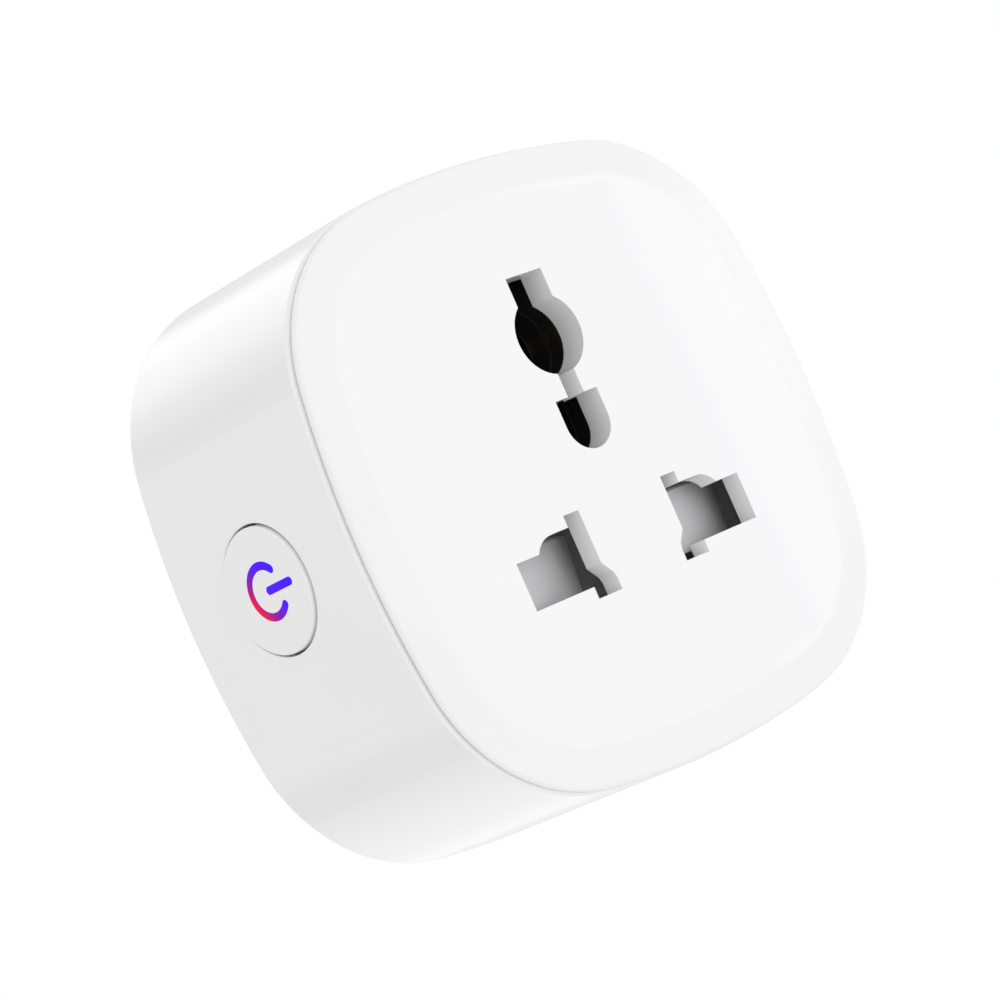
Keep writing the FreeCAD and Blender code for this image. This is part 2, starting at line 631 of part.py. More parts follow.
def button_board():
    board = box(BUTTON_BOARD[0], BUTTON_BOARD[1], -20.4, BOARD_FRONT, -8.0, 8.0)
    return board


def status_leds():
    """Two lamps on the button board, either side of the switch."""
    lamps = []
    for sz in (-1, 1):
        x1 = BUTTON_BOARD[0]
        base = box(x1 - 0.9, x1, BUTTON_Y - 1.0, BUTTON_Y + 1.0, sz * 4.4 - 0.8, sz * 4.4 + 0.8)
        lamps.append(base.makeFillet(0.2, edges_where(base, lambda p: p.x < x1 - 0.8)))
    return Part.makeCompound(lamps)


def board_link_pins():
    """Four square pins that carry the button board's signals to the main board."""
    pins = []
    for step in range(4):
        z = -3.81 + step * 2.54
        across = box(BUTTON_BOARD[1], BUTTON_BOARD[1] + 1.6, -7.4, -6.8, z - 0.3, z + 0.3)
        down = box(BUTTON_BOARD[1] + 1.0, BUTTON_BOARD[1] + 1.6, -7.4, BOARD_BACK + 0.4, z - 0.3, z + 0.3)
        pins.append(fuse([across, down]))
    return Part.makeCompound(pins)


# ---------------------------------------------------------------- main board and what stands on it
def main_board():
    board = outline_slab(-3.4, BOARD_FRONT, BOARD_BACK)
    cuts = at_corners(lambda x, z: cylinder(4.4, (x, -6, z), (x, -1, z)))
    cuts += [box(sx * LINE_X - 1.4, sx * LINE_X + 1.4, -6, -2, LINE_Z - 0.6, LINE_Z + 0.6) for sx in (-1, 1)]
    cuts.append(box(-0.6, 0.6, -6, -2, EARTH_Z - 1.4, EARTH_Z + 1.4))
    cuts += [box(sx * 9.6 - 1.3, sx * 9.6 + 1.3, -6, -2, LINE_Z + 3.3, LINE_Z + 4.3) for sx in (-1, 1)]
    cuts.append(box(-1.3, 1.3, -6, -2, 2.1, 3.1))
    for step in range(4):
        z = -3.81 + step * 2.54
        x = BUTTON_BOARD[1] + 1.3
        cuts.append(box(x - 0.4, x + 0.4, -6, -2, z - 0.4, z + 0.4))
    return board.cut(cuts)


def can_capacitor(x, z, radius, height):
    """An electrolytic can with the crimp ring near its foot."""
    top = BOARD_FRONT - height
    can = cylinder(radius, (x, top, z), (x, BOARD_FRONT, z))
    can = can.makeFillet(0.5, edges_where(can, lambda p: abs(p.y - top) < 1e-6))
    groove = Part.makeTorus(radius + 0.25, 0.5, Vector(x, BOARD_FRONT - 1.8, z), Vector(0, 1, 0))
    return can.cut(groove)


def bulk_capacitors():
    return Part.makeCompound([can_capacitor(-11.2, 21.4, 3.9, 12.5), can_capacitor(-12.2, 12.2, 3.9, 12.5)])


def suppression_capacitor():
    block = box(-5.6, 5.6, BOARD_FRONT - 9.5, BOARD_FRONT, 20.9, 25.2)
    return block.makeFillet(0.4, [e for e in block.Edges if abs(e.tangentAt(0).y) > 0.99])


def surge_varistor():
    x, y = 11.6, BOARD_FRONT - 5.6
    disc = cylinder(4.4, (x, y, 21.6), (x, y, 24.8))
    disc = disc.makeFillet(0.9, [e for e in disc.Edges if e.Length > 20])
    legs = [cylinder(0.35, (leg, y + 2, 23.2), (leg, BOARD_FRONT, 23.2)) for leg in (x - 2.5, x + 2.5)]
    return fuse([disc] + legs)


def filter_choke():
    """A drum choke: a ferrite bobbin with its winding."""
    x, z = 12.6, 2.6
    low = cylinder(3.6, (x, BOARD_FRONT - 1.4, z), (x, BOARD_FRONT, z))
    high = cylinder(3.6, (x, BOARD_FRONT - 9.4, z), (x, BOARD_FRONT - 8.0, z))
    winding = cylinder(3.1, (x, BOARD_FRONT - 8.1, z), (x, BOARD_FRONT - 1.3, z))
    return fuse([low, winding, high])


def radial_fuse():
    x, z = -12.0, 2.4
    top = BOARD_FRONT - 8.0
    can = cylinder(3.4, (x, top, z), (x, BOARD_FRONT, z))
    return can.makeFillet(0.6, edges_where(can, lambda p: abs(p.y - top) < 1e-6))


def chip(x, z, width, height, thick, turn=0.0):
    """A small-outline chip with its gull-wing legs joined to the body."""
    top = BOARD_FRONT - thick
    body = box(-width / 2, width / 2, top, BOARD_FRONT - 0.15, -height / 2, height / 2)
    legs = []
    for side in (-1, 1):
        for step in range(4):
            leg_x = -1.905 + 1.27 * step
            leg_z = side * (height / 2 + 0.4)
            foot = (BOARD_FRONT - 0.5, BOARD_FRONT)
            legs.append(box(leg_x - 0.2, leg_x + 0.2, *foot, leg_z - 0.5, leg_z + 0.5))
    shape = fuse([body] + legs)
    shape.rotate(Vector(0, 0, 0), Vector(0, 1, 0), turn)
    shape.translate(Vector(x, 0, z))
    return shape


def board_chips():
    """The supply controller, the bridge rectifier and the metering chip."""
    controller = chip(12.4, 10.6, 4.9, 3.9, 1.6)
    rectifier = chip(11.4, 17.0, 4.9, 3.0, 1.5)
    meter = chip(0, -8.7, 4.9, 2.5, 1.4, 90)
    return Part.makeCompound([controller, rectifier, meter])


def current_shunt():
    """A bent metal strip whose voltage tells the load's current."""
    x, z = 14.4, -22.9
    foot, crown = BOARD_FRONT - 2.4, BOARD_FRONT - 3.2
    legs = [box(x + s * 2.4 - 0.4, x + s * 2.4 + 0.4, foot, BOARD_FRONT, z - 0.7, z + 0.7) for s in (-1, 1)]
    top = box(x - 2.8, x + 2.8, crown, foot, z - 0.7, z + 0.7)
    return fuse(legs + [top])


WIFI_X = (21.4, 22.4)


def wifi_module():
    """The radio daughterboard, standing on edge along the right side."""
    board = box(WIFI_X[0], WIFI_X[1], BOARD_FRONT - 15.0, BOARD_FRONT, -9.0, 9.0)
    return board


def wifi_shield():
    can = box(WIFI_X[0] - 2.2, WIFI_X[0], BOARD_FRONT - 10.6, BOARD_FRONT - 0.8, -7.2, 7.2)
    return can.makeFillet(0.4, edges_where(can, lambda p: p.x < WIFI_X[0] - 2.1))


def wifi_antenna():
    """The meandering copper aerial at the radio board's free end."""
    x1 = WIFI_X[0]
    y_low, y_high = BOARD_FRONT - 11.6, BOARD_FRONT - 14.4
    strokes = []
    count = 7
    for step in range(count):
        z = -6.6 + step * 2.2
        strokes.append(box(x1 - 0.05, x1, y_high, y_low, z - 0.25, z + 0.25))
        if step < count - 1:
            y = y_high if step % 2 == 0 else y_low - 0.5
            strokes.append(box(x1 - 0.05, x1, y, y + 0.5, z, z + 2.2))
    return fuse(strokes)


# ---------------------------------------------------------------- relay
RELAY_X = (-11.0, 11.0)
RELAY_Z = (-25.0, -15.45)
RELAY_TOP = BOARD_FRONT - 15.2
RELAY_MID_Z = (RELAY_Z[0] + RELAY_Z[1]) / 2
RELAY_FLOOR = BOARD_FRONT - 1.5
CORE_X = -3.6
HINGE_X = -8.6
POLE_Y = RELAY_FLOOR - 9.4
HINGE_Y = POLE_Y - 0.15
HINGE_BEAD_R = 0.3
ARMATURE_ANGLE = 4.0


def relay_block(inset, y0, y1):
    """A block with the relay's outline, drawn in by inset."""
    return box(RELAY_X[0] + inset, RELAY_X[1] - inset, y0, y1, RELAY_Z[0] + inset, RELAY_Z[1] - inset)


def relay_base():
    base = relay_block(0.55, RELAY_FLOOR, BOARD_FRONT - 0.1)
    legs = [
        cylinder(0.45, (x, BOARD_FRONT - 0.2, RELAY_MID_Z + dz), (x, BOARD_FRONT, RELAY_MID_Z + dz))
        for x in (-8.5, 8.5)
        for dz in (-2.6, 2.6)
    ]
    return fuse([base] + legs)


def relay_cover():
    case = relay_block(0, RELAY_TOP, BOARD_FRONT - 0.1)
    case = case.makeFillet(0.6, edges_where(case, lambda p: p.y < BOARD_FRONT - 1))
    return case.cut(relay_block(0.5, RELAY_TOP + 0.5, 0))


def relay_yoke():
    """The L-shaped iron that carries the core at its foot and the armature's bead in its top."""
    z0, z1 = RELAY_MID_Z - 3.2, RELAY_MID_Z + 3.2
    foot = box(HINGE_X - 0.6, CORE_X + 2.6, RELAY_FLOOR - 1.2, RELAY_FLOOR, z0, z1)
    wall = box(HINGE_X - 0.6, HINGE_X + 0.6, POLE_Y, RELAY_FLOOR - 1.1, z0, z1)
    groove = cylinder(HINGE_BEAD_R + 0.05, (HINGE_X, HINGE_Y, z0 - 1), (HINGE_X, HINGE_Y, z1 + 1))
    return fuse([foot, wall]).cut(groove)


def relay_core():
    stem = cylinder(1.4, (CORE_X, POLE_Y + 0.8, RELAY_MID_Z), (CORE_X, RELAY_FLOOR - 1.2, RELAY_MID_Z))
    pole = cylinder(2.5, (CORE_X, POLE_Y, RELAY_MID_Z), (CORE_X, POLE_Y + 0.9, RELAY_MID_Z))
    return fuse([stem, pole])


def relay_bobbin():
    y0, y1 = POLE_Y + 1.0, RELAY_FLOOR - 1.3
    tube = cylinder(1.9, (CORE_X, y0, RELAY_MID_Z), (CORE_X, y1, RELAY_MID_Z))
    flanges = [
        cylinder(3.6, (CORE_X, y, RELAY_MID_Z), (CORE_X, y + 0.6, RELAY_MID_Z)) for y in (y0, y1 - 0.6)
    ]
    bore = cylinder(1.45, (CORE_X, y0 - 1, RELAY_MID_Z), (CORE_X, y1 + 1, RELAY_MID_Z))
    return fuse([tube] + flanges).cut(bore)


def relay_coil():
    y0, y1 = POLE_Y + 1.65, RELAY_FLOOR - 1.95
    coil = cylinder(3.3, (CORE_X, y0, RELAY_MID_Z), (CORE_X, y1, RELAY_MID_Z))
    return coil.cut(cylinder(1.95, (CORE_X, y0 - 1, RELAY_MID_Z), (CORE_X, y1 + 1, RELAY_MID_Z)))


def tilt_open(shape):
    """Turns a piece about the armature's bead, from pulled in to released."""
    turned = shape.copy()
    turned.rotate(Vector(HINGE_X, HINGE_Y, RELAY_MID_Z), Vector(0, 0, 1), -ARMATURE_ANGLE - 0.4)
    return turned


def relay_armature():
    """The iron plate that the coil pulls down. It rocks on a round bead along its heel."""
    z0, z1 = RELAY_MID_Z - 3.0, RELAY_MID_Z + 3.0
    plate = box(HINGE_X - 0.6, CORE_X + 2.8, HINGE_Y - 1.0, HINGE_Y - 0.05, z0, z1)
    bead = cylinder(HINGE_BEAD_R, (HINGE_X, HINGE_Y, z0), (HINGE_X, HINGE_Y, z1))
    return tilt_open(fuse([plate, bead]))


def relay_contact_spring():
    """The bronze blade on the armature, with the moving contact at its free end."""
    z0, z1 = RELAY_MID_Z - 2.0, RELAY_MID_Z + 2.0
    blade = box(HINGE_X + 1.0, 8.2, HINGE_Y - 1.3, HINGE_Y - 1.0, z0, z1)
    rivet = cylinder(1.1, (7.0, HINGE_Y - 1.1, RELAY_MID_Z), (7.0, HINGE_Y - 0.4, RELAY_MID_Z))
    return tilt_open(fuse([blade, rivet]))


def relay_fixed_contact():
    """The post that the moving contact lands on when the coil pulls in."""
    z0, z1 = RELAY_MID_Z - 1.6, RELAY_MID_Z + 1.6
    post = box(8.6, 9.3, HINGE_Y + 0.6, RELAY_FLOOR, z0, z1)
    shelf = box(5.8, 9.3, HINGE_Y + 0.4, HINGE_Y + 1.1, z0, z1)
    rivet = cylinder(1.1, (7.0, HINGE_Y - 0.15, RELAY_MID_Z), (7.0, HINGE_Y + 0.5, RELAY_MID_Z))
    return fuse([post, shelf, rivet])


# ---------------------------------------------------------------- write the nodes
MAKERS = {
    "front_cover": front_cover,
    "housing_shell": housing_shell,
    "rear_base": rear_base,
    "housing_screws": housing_screws,
    "line_pin": lambda: power_pin(LINE_X),
    "neutral_pin": lambda: power_pin(-LINE_X),
    "earth_pin": earth_pin,
    "line_pin_sleeve": lambda: pin_sleeve(LINE_X),
    "neutral_pin_sleeve": lambda: pin_sleeve(-LINE_X),
    "shutter": shutter,
    "shutter_spring": shutter_spring,
    "shutter_tray": shutter_tray,
    "contact_carrier": contact_carrier,
    "line_contact": lambda: power_contact(1),
    "neutral_contact": lambda: power_contact(-1),
    "earth_contact": earth_contact,
    "power_button": power_button,
    "icon_light_guide": icon_light_guide,
    "tact_switch_body": tact_switch_body,
    "tact_switch_plunger": tact_switch_plunger,
    "button_board": button_board,
    "status_leds": status_leds,
    "board_link_pins": board_link_pins,
    "main_board": main_board,
    "bulk_capacitors": bulk_capacitors,
    "suppression_capacitor": suppression_capacitor,
    "surge_varistor": surge_varistor,
    "filter_choke": filter_choke,
    "radial_fuse": radial_fuse,
    "board_chips": board_chips,
    "current_shunt": current_shunt,
    "wifi_module": wifi_module,
    "wifi_shield": wifi_shield,
    "wifi_antenna": wifi_antenna,
    "relay_base": relay_base,
    "relay_cover": relay_cover,
    "relay_yoke": relay_yoke,
    "relay_core": relay_core,
    "relay_bobbin": relay_bobbin,
    "relay_coil": relay_coil,
    "relay_armature": relay_armature,
    "relay_contact_spring": relay_contact_spring,
    "relay_fixed_contact": relay_fixed_contact,
}


def main():
    os.makedirs("parts", exist_ok=True)
    for name, make in MAKERS.items():
        shape = make()
        if not shape.isValid() or shape.Volume <= 0:
            print("WARNING", name, "valid", shape.isValid(), "volume", shape.Volume)
        shape.exportStep(f"parts/{name}.step")
        print(f"{name}: {len(shape.Solids)} solid(s), {shape.Volume:.1f} mm3")


main()
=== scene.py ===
"""Looks for the smart plug: materials, light and the camera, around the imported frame. Metres throughout."""

import math

import bpy
from mathutils import Matrix, Vector


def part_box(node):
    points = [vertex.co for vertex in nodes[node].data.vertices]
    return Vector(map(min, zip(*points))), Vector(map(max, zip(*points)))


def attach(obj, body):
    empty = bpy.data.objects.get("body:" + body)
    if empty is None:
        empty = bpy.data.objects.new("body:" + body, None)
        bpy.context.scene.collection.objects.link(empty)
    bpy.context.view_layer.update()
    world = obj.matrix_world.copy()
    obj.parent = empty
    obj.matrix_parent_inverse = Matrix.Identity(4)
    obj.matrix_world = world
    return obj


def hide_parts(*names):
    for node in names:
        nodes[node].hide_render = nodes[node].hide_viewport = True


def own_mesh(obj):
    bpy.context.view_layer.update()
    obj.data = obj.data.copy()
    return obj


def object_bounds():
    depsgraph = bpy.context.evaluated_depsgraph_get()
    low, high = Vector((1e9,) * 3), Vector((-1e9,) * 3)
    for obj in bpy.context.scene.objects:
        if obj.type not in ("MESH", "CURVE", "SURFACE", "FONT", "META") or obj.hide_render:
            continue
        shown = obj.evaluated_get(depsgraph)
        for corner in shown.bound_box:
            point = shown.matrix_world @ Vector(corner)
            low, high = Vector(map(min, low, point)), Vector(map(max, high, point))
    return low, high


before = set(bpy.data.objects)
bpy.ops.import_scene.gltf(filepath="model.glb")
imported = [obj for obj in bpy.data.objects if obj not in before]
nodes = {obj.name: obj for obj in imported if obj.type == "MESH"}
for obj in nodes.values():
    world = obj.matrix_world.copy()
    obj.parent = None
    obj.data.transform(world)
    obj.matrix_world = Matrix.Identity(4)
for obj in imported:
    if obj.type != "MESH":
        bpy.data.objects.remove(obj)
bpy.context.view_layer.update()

# ---------------------------------------------------------------- viewpoint
AIM = Vector((-0.0079, -0.0223, -0.0005))
DISTANCE = 0.3044
TURN = 39.86                 # degrees from the face's normal, towards the button's side
TILT = 2.385                 # degrees that the camera looks upwards
ROLL = -23.656
LENS_MM = 120.15
SENSOR_MM = 36.0

MM = 0.001

# ---------------------------------------------------------------- the studio's brightness
ROOM_LIGHT = 1.085           # all round
ROOM_SLOPE = 0.15            # added straight in front of the face, and taken away behind it
PANEL_LIGHT = 0.6            # each of the two layers of the front panel

FLOOR_RADIUS = 6.0
FLOOR_DROP = 0.3             # how far the floor lies below the plug


def view_axes():
    """Straight ahead for the camera, and level right and up before its roll."""
    turn, tilt = math.radians(TURN), math.radians(TILT)
    ahead = Vector((math.sin(turn) * math.cos(tilt), math.cos(turn) * math.cos(tilt), math.sin(tilt)))
    right = Vector((math.cos(turn), -math.sin(turn), 0))
    return ahead, right, right.cross(ahead)


# ---------------------------------------------------------------- node helpers
def new_material(name):
    material = bpy.data.materials.new(name)
    material.use_nodes = True
    tree = material.node_tree
    return material, tree, tree.nodes["Principled BSDF"]


def add(tree, kind, **inputs):
    node = tree.nodes.new(kind)
    for key, value in inputs.items():
        node.inputs[key.replace("_", " ")].default_value = value
    return node


def position(tree):
    return tree.nodes.new("ShaderNodeTexCoord").outputs["Object"]


def noise(tree, scale, detail=4.0, roughness=0.55):
    node = add(tree, "ShaderNodeTexNoise", Scale=scale, Detail=detail, Roughness=roughness)
    tree.links.new(position(tree), node.inputs["Vector"])
    return node.outputs["Fac"]


def between(tree, factor, low, high):
    """Maps a 0 to 1 factor to the range low to high."""
    node = add(tree, "ShaderNodeMapRange", To_Min=low, To_Max=high)
    tree.links.new(factor, node.inputs["Value"])
    return node.outputs["Result"]


def ramp(tree, factor, *stops):
    """A colour ramp through (place, colour) stops."""
    node = tree.nodes.new("ShaderNodeValToRGB")
    elements = node.color_ramp.elements
    while len(elements) < len(stops):
        elements.new(0.5)
    for element, (place, colour) in zip(elements, stops):
        element.position = place
        element.color = (*colour, 1)
    tree.links.new(factor, node.inputs["Fac"])
    return node.outputs["Color"]


def bump(tree, shader, height, strength, distance):
    node = add(tree, "ShaderNodeBump", Strength=strength, Distance=distance)
    tree.links.new(height, node.inputs["Height"])
    tree.links.new(node.outputs["Normal"], shader.inputs["Normal"])


def shade(colour, factor):
    return tuple(c * factor for c in colour)


# ---------------------------------------------------------------- materials
def moulded_plastic(name, colour, roughness, grain_mm=0.12, grain=0.15, variation=0.03, coat=0.0):
    """Injection-moulded plastic: fine spark-eroded grain, slight cloudiness and uneven polish."""
    material, tree, shader = new_material(name)
    cloud = noise(tree, 60)
    tree.links.new(
        ramp(tree, cloud, (0.3, shade(colour, 1 - variation)), (0.7, colour)), shader.inputs["Base Color"]
    )
    polish = noise(tree, 240, detail=3)
    tree.links.new(between(tree, polish, roughness * 0.88, roughness * 1.12), shader.inputs["Roughness"])
    grains = noise(tree, 1 / (grain_mm * MM), detail=2)
    bump(tree, shader, grains, grain, 0.01 * MM)
    shader.inputs["IOR"].default_value = 1.5
    shader.inputs["Coat Weight"].default_value = coat
    shader.inputs["Coat Roughness"].default_value = 0.12
    return material


def brushed_metal(name, colour, roughness, axis=1, scratch=0.25):
    """Drawn or plated metal: fine lines along one axis, with tarnish in patches."""
    material, tree, shader = new_material(name)
    stretch = [900.0, 900.0, 900.0]
    stretch[axis] = 40.0
    mapping = tree.nodes.new("ShaderNodeMapping")
    mapping.inputs["Scale"].default_value = stretch
    tree.links.new(position(tree), mapping.inputs["Vector"])
    lines = add(tree, "ShaderNodeTexNoise", Scale=4.0, Detail=3.0)
    tree.links.new(mapping.outputs["Vector"], lines.inputs["Vector"])
    tarnish = noise(tree, 180)
    tree.links.new(
        ramp(tree, tarnish, (0.35, shade(colour, 0.82)), (0.65, colour)), shader.inputs["Base Color"]
    )
    tree.links.new(
        between(tree, lines.outputs["Fac"], roughness * 0.7, roughness * 1.3), shader.inputs["Roughness"]
    )
    bump(tree, shader, lines.outputs["Fac"], scratch, 0.01 * MM)
    shader.inputs["Metallic"].default_value = 1.0
    return material


def circuit_laminate(name, mask):
    """Solder mask over a grid of copper tracks that show as slightly raised, lighter lanes."""
    material, tree, shader = new_material(name)
    tracks = add(tree, "ShaderNodeTexBrick", Scale=420.0, Mortar_Size=0.02)
    tracks.inputs["Color1"].default_value = (*shade(mask, 1.25), 1)
    tracks.inputs["Color2"].default_value = (*mask, 1)
    tracks.inputs["Mortar"].default_value = (*shade(mask, 0.55), 1)
    tree.links.new(position(tree), tracks.inputs["Vector"])
    tree.links.new(tracks.outputs["Color"], shader.inputs["Base Color"])
    bump(tree, shader, tracks.outputs["Fac"], 0.3, 0.02 * MM)
    tree.links.new(between(tree, noise(tree, 300), 0.28, 0.4), shader.inputs["Roughness"])
    return material


def wound_copper(name, colour):
    """Enamelled wire wound along Y: close turns as a fine wave in the surface, with painted shade darkening
    the grooves between turns.
    """
    material, tree, shader = new_material(name)
    turns = add(tree, "ShaderNodeTexWave", Scale=1400.0, Distortion=0.4, Detail=1.0)
    turns.bands_direction = "Y"
    tree.links.new(position(tree), turns.inputs["Vector"])
    # the enamel colour, with painted shade darkening it in the grooves between turns
    enamel_and_groove_shade = ramp(tree, turns.outputs["Fac"], (0.1, shade(colour, 0.45)), (0.8, colour))
    tree.links.new(enamel_and_groove_shade, shader.inputs["Base Color"])
    bump(tree, shader, turns.outputs["Fac"], 0.8, 0.04 * MM)
    shader.inputs["Metallic"].default_value = 0.9
    shader.inputs["Roughness"].default_value = 0.3
    return material


def lit_symbol(name):
    """The symbol's clear windows, lit from inside by a violet and a red lamp."""
    material, tree, shader = new_material(name)
    low, high = symbol_span()
    place = tree.nodes.new("ShaderNodeSeparateXYZ")
    tree.links.new(position(tree), place.inputs["Vector"])
    lean = maths(tree, "MULTIPLY", place.outputs["Z"], -0.55)
    along = maths(tree, "ADD", lean, place.outputs["Y"])
    span = add(tree, "ShaderNodeMapRange", From_Min=low, From_Max=high)
    tree.links.new(along, span.inputs["Value"])
    glow = ramp(
        tree,
        span.outputs["Result"],
        (0.0, (0.05, 0.0, 1.0)),
        (0.36, (0.08, 0.0, 0.97)),
        (0.6, (0.19, 0.0, 0.5)),
        (0.78, (0.4, 0.0, 0.22)),
        (0.93, (0.86, 0.0, 0.03)),
    )
    tree.links.new(glow, shader.inputs["Emission Color"])
    shader.inputs["Base Color"].default_value = (0.01, 0.005, 0.02, 1)
    shader.inputs["Specular IOR Level"].default_value = 0.1
    shader.inputs["Emission Strength"].default_value = 1.0
    tree.links.new(between(tree, noise(tree, 900), 0.25, 0.4), shader.inputs["Roughness"])
    return material


def symbol_span():
    """Where along Y the symbol's colours start and end."""
    low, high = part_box("icon_light_guide")
    middle = (low.y + high.y) / 2
    return middle - 2.9 * MM, middle + 3.2 * MM


def paint(material, *names):
    for name in names:
        slots = nodes[name].data.materials
        slots.clear()
        slots.append(material)


def paint_everything():
    white = (0.93, 0.93, 0.93)
    paint(moulded_plastic("cover_plastic", white, 0.03, grain=0.004, variation=0.01), "front_cover")
    paint(moulded_plastic("housing_plastic", white, 0.16, grain=0.03, variation=0.01), "housing_shell")
    paint(moulded_plastic("base_plastic", (0.88, 0.88, 0.88), 0.45, grain=0.3), "rear_base")
    paint(moulded_plastic("button_plastic", white, 0.3), "power_button")
    paint(lit_symbol("icon_glow"), "icon_light_guide")
    paint(moulded_plastic("shutter_plastic", (0.6, 0.6, 0.61), 0.3), "shutter")
    paint(moulded_plastic("tray_plastic", (0.48, 0.48, 0.49), 0.4), "shutter_tray")
    black = (0.012, 0.012, 0.013)
    paint(moulded_plastic("carrier_plastic", black, 0.35, grain=0.3), "contact_carrier")
    paint(
        moulded_plastic("black_plastic", shade(black, 1.6), 0.45, grain=0.35),
        "tact_switch_body", "radial_fuse", "board_chips", "relay_base",
    )
    paint(moulded_plastic("plunger_plastic", (0.1, 0.1, 0.1), 0.4), "tact_switch_plunger")
    paint(
        moulded_plastic("sleeve_plastic", shade(black, 2.0), 0.4, grain=0.3),
        "line_pin_sleeve", "neutral_pin_sleeve",
    )
    paint(brushed_metal("screw_steel", (0.62, 0.62, 0.64), 0.28), "housing_screws")
    paint(
        brushed_metal("pin_brass", (0.86, 0.68, 0.36), 0.22),
        "line_pin", "neutral_pin", "earth_pin", "board_link_pins",
    )
    paint(
        brushed_metal("contact_bronze", (0.62, 0.46, 0.3), 0.3),
        "line_contact", "neutral_contact", "earth_contact", "relay_contact_spring", "relay_fixed_contact",
    )
    spring_steel = brushed_metal("spring_steel", (0.66, 0.66, 0.68), 0.25, axis=0)
    paint(spring_steel, "current_shunt", "shutter_spring")
    coil_spring("shutter_return_spring", "shutter_spring", spring_steel)
    paint(brushed_metal("capacitor_aluminium", (0.55, 0.57, 0.62), 0.3), "bulk_capacitors")
    paint(brushed_metal("shield_steel", (0.75, 0.75, 0.74), 0.3, axis=2), "wifi_shield")
    paint(brushed_metal("relay_iron", (0.5, 0.5, 0.52), 0.35), "relay_yoke", "relay_core", "relay_armature")
    paint(circuit_laminate("board_laminate", (0.02, 0.16, 0.05)), "main_board", "button_board")
    paint(circuit_laminate("radio_laminate", (0.01, 0.03, 0.16)), "wifi_module")
    paint(wound_copper("copper", (0.72, 0.3, 0.14)), "relay_coil", "wifi_antenna")
    paint(moulded_plastic("led_resin", (0.9, 0.87, 0.75), 0.15, grain=0.05), "status_leds")
    paint(moulded_plastic("capacitor_box_plastic", (0.6, 0.42, 0.03), 0.3), "suppression_capacitor")
    paint(moulded_plastic("varistor_coat", (0.02, 0.08, 0.4), 0.2, grain_mm=0.5, grain=0.4), "surge_varistor")
    paint(moulded_plastic("ferrite", (0.03, 0.028, 0.028), 0.6, grain_mm=0.08, grain=0.6), "filter_choke")
    paint(moulded_plastic("relay_plastic", (0.02, 0.06, 0.32), 0.3), "relay_cover")
    paint(moulded_plastic("bobbin_plastic", (0.7, 0.7, 0.64), 0.4), "relay_bobbin")


# ---------------------------------------------------------------- pieces made here
def tube_along(points, radius, sides):
    """A closed round tube through points, with capped ends, as a mesh."""
    rings = []
    for number, point in enumerate(points):
        before, after = points[max(number - 1, 0)], points[min(number + 1, len(points) - 1)]
        ahead = (after - before).normalized()
        side = ahead.cross(Vector((1, 0, 0))).normalized()
        above = side.cross(ahead)
        turns = [2 * math.pi * step / sides for step in range(sides)]
        rings.append([point + radius * (math.cos(t) * side + math.sin(t) * above) for t in turns])
    faces = [tuple(reversed(range(sides))), tuple(range((len(rings) - 1) * sides, len(rings) * sides))]
    for ring in range(len(rings) - 1):
        for step in range(sides):
            here, there = ring * sides + step, ring * sides + (step + 1) % sides
            faces.append((here, there, there + sides, here + sides))
    mesh = bpy.data.meshes.new("tube")
    mesh.from_pydata([corner for ring in rings for corner in ring], [], faces)
    mesh.shade_smooth()
    return mesh


def coil_spring(name, node, material, turns=9, wire=0.32 * MM):
    """The wound return spring, in the space of the plain tube that stands for it in the frame.

    Its turns lie closer at both ends.
    """
    low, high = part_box(node)
    middle = (low + high) / 2
    radius = (high.z - low.z - wire) / 2
    length = high.x - low.x - wire
    steps = 24 * turns
    points = []
    for step in range(steps + 1):
        share = step / steps
        closed = share - 0.05 * math.sin(2 * math.pi * share)
        angle = 2 * math.pi * turns * share
        x = low.x + wire / 2 + length * closed
        points.append(Vector((x, middle.y + radius * math.cos(angle), middle.z + radius * math.sin(angle))))
    spring = bpy.data.objects.new(name, tube_along(points, wire / 2, 10))
    spring.data.materials.append(material)
    bpy.context.scene.collection.objects.link(spring)
    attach(spring, "plug")
    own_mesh(spring)
    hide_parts(node)


# ---------------------------------------------------------------- stage, light and camera
def stage_floor():
    low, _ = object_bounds()
    place = (0, 0, low[2] - FLOOR_DROP)
    bpy.ops.mesh.primitive_circle_add(vertices=96, radius=FLOOR_RADIUS, fill_type="NGON", location=place)
    floor = bpy.context.object
    floor.name = "floor"
    material, tree, shader = new_material("pale_floor")
    paper = ramp(tree, noise(tree, 3), (0.3, (0.9, 0.9, 0.9)), (0.7, (0.93, 0.93, 0.93)))
    tree.links.new(paper, shader.inputs["Base Color"])
    shader.inputs["Roughness"].default_value = 0.8
    shader.inputs["Emission Color"].default_value = (1, 1, 1, 1)
    shader.inputs["Emission Strength"].default_value = 0.35
    floor.data.materials.append(material)
    floor.visible_diffuse = False
    floor.visible_glossy = False
    floor.visible_shadow = False


def mirrored(normal, ray=None):
    """Where a polished face with this normal sends the camera's line of sight."""
    ray = ray or view_axes()[0]
    return ray.reflect(Vector(normal).normalized())


def in_wall(degrees):
    """What the side wall mirrors to the camera where its normal is turned this far up from -X."""
    angle = math.radians(degrees)
    return mirrored((-math.cos(angle), 0, math.sin(angle)))


def maths(tree, operation, first, second):
    node = tree.nodes.new("ShaderNodeMath")
    node.operation = operation
    for socket, value in zip(node.inputs, (first, second)):
        if isinstance(value, (int, float)):
            socket.default_value = value
        else:
            tree.links.new(value, socket)
    return node.outputs["Value"]


def facing(tree, towards, direction):
    """The cosine between a sky direction and a fixed one."""
    node = tree.nodes.new("ShaderNodeVectorMath")
    node.operation = "DOT_PRODUCT"
    tree.links.new(towards, node.inputs[0])
    node.inputs[1].default_value = Vector(direction).normalized()
    return node.outputs["Value"]


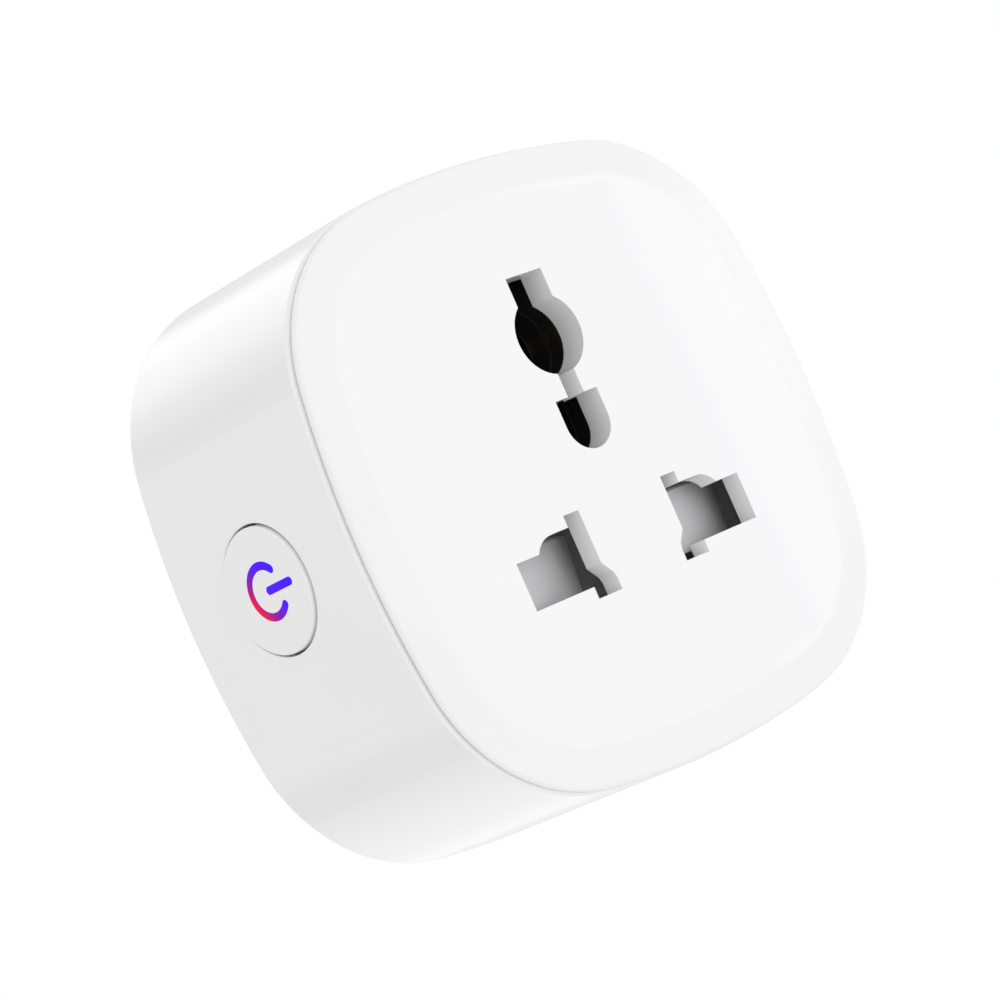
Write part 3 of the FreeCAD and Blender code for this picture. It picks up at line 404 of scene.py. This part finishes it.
def soft_step(tree, value, low, high):
    node = add(tree, "ShaderNodeMapRange", From_Min=low, From_Max=high)
    node.interpolation_type = "SMOOTHSTEP"
    tree.links.new(value, node.inputs["Value"])
    return node.outputs["Result"]


def patch(tree, towards, direction, inner, outer):
    """1 within inner degrees of a direction, fading to 0 at outer degrees."""
    cosine = facing(tree, towards, direction)
    return soft_step(tree, cosine, math.cos(math.radians(outer)), math.cos(math.radians(inner)))


def panel_edge():
    """The normal of the plane through the front panel's upright edge and the plug, so that the face
    mirrors the edge to the camera along the line between two places on it."""
    low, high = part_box("front_cover")
    ahead = view_axes()[0]
    eye = AIM - DISTANCE * ahead
    ends = [Vector((x * high.x, low.y, z * high.z)) for x, z in ((0.43, 0.77), (0.51, -0.77))]
    top, bottom = (mirrored((0, -1, 0), (end - eye).normalized()) for end in ends)
    return top.cross(bottom).normalized()


def front_panel(tree, towards):
    """The front panel's light, and the violet fringe beside its upright edge."""
    field = patch(tree, towards, mirrored((0, -1, 0)), 9, 15)
    beyond = facing(tree, towards, panel_edge())
    fringe_from = soft_step(tree, beyond, 0.0, 0.0005)
    fringe_to = soft_step(tree, beyond, 0.0043, 0.0048)
    fringe = maths(tree, "MULTIPLY", maths(tree, "SUBTRACT", fringe_from, fringe_to), field)
    return maths(tree, "MULTIPLY", fringe_to, field), fringe


def studio_light(tree, towards):
    """The radiance of the studio around the plug: a pale room, softboxes, and two dark flags."""
    slope = maths(tree, "MULTIPLY", facing(tree, towards, (0, -1, 0)), ROOM_SLOPE)
    light = maths(tree, "ADD", slope, ROOM_LIGHT)
    # direction, degrees to its full and to its outer edge, and strength, which is below 0 for a dark flag
    for direction, inner, outer, strength in (
        (mirrored((0, -1, 0)), 9, 15, PANEL_LIGHT),
        ((0.85, -0.51, 0.1), 5, 12, 0.6),
        ((0.98, 0.15, 0.1), 10, 34, 0.55),
        (in_wall(17.5), 2, 10, -0.8),
        (in_wall(-27), 3, 12, -0.8),
        (in_wall(46), 8, 24, 1.1),
        (in_wall(-62), 12, 32, 0.5),
    ):
        glow = maths(tree, "MULTIPLY", patch(tree, towards, direction, inner, outer), strength)
        light = maths(tree, "ADD", light, glow)
    return maths(tree, "MAXIMUM", light, 0.0)


def studio():
    """The camera sees plain white behind the plug; everything else sees the studio."""
    world = bpy.data.worlds.new("studio")
    bpy.context.scene.world = world
    world.use_nodes = True
    tree = world.node_tree
    white = tree.nodes["Background"]
    white.inputs["Color"].default_value = (1, 1, 1, 1)
    surroundings = tree.nodes.new("ShaderNodeBackground")
    towards = tree.nodes.new("ShaderNodeTexCoord").outputs["Generated"]
    panel, fringe = front_panel(tree, towards)
    light = maths(tree, "ADD", studio_light(tree, towards), maths(tree, "MULTIPLY", panel, PANEL_LIGHT))
    tree.links.new(light, surroundings.inputs["Strength"])
    violet = add(tree, "ShaderNodeBackground", Color=(0.0, 0.0, 1.0, 1))
    tree.links.new(fringe, violet.inputs["Strength"])
    both = tree.nodes.new("ShaderNodeAddShader")
    tree.links.new(surroundings.outputs["Background"], both.inputs[0])
    tree.links.new(violet.outputs["Background"], both.inputs[1])
    mix = tree.nodes.new("ShaderNodeMixShader")
    path = tree.nodes.new("ShaderNodeLightPath")
    tree.links.new(path.outputs["Is Camera Ray"], mix.inputs["Fac"])
    tree.links.new(both.outputs["Shader"], mix.inputs[1])
    tree.links.new(white.outputs["Background"], mix.inputs[2])
    tree.links.new(mix.outputs["Shader"], tree.nodes["World Output"].inputs["Surface"])
    world.cycles.sampling_method = "MANUAL"
    world.cycles.sample_map_resolution = 1024
    bpy.context.scene.view_settings.view_transform = "Standard"


def camera():
    ahead, right, up = view_axes()
    roll = math.radians(ROLL)
    rolled_right = math.cos(roll) * right + math.sin(roll) * up
    rolled_up = math.cos(roll) * up - math.sin(roll) * right
    data = bpy.data.cameras.new("camera")
    data.lens = LENS_MM
    data.sensor_width = SENSOR_MM
    data.clip_start = 0.01
    eye = bpy.data.objects.new("camera", data)
    turned = Matrix((rolled_right, rolled_up, -ahead)).transposed()
    eye.matrix_world = Matrix.Translation(AIM - DISTANCE * ahead) @ turned.to_4x4()
    bpy.context.scene.collection.objects.link(eye)
    bpy.context.scene.camera = eye


paint_everything()
stage_floor()
studio()
camera()
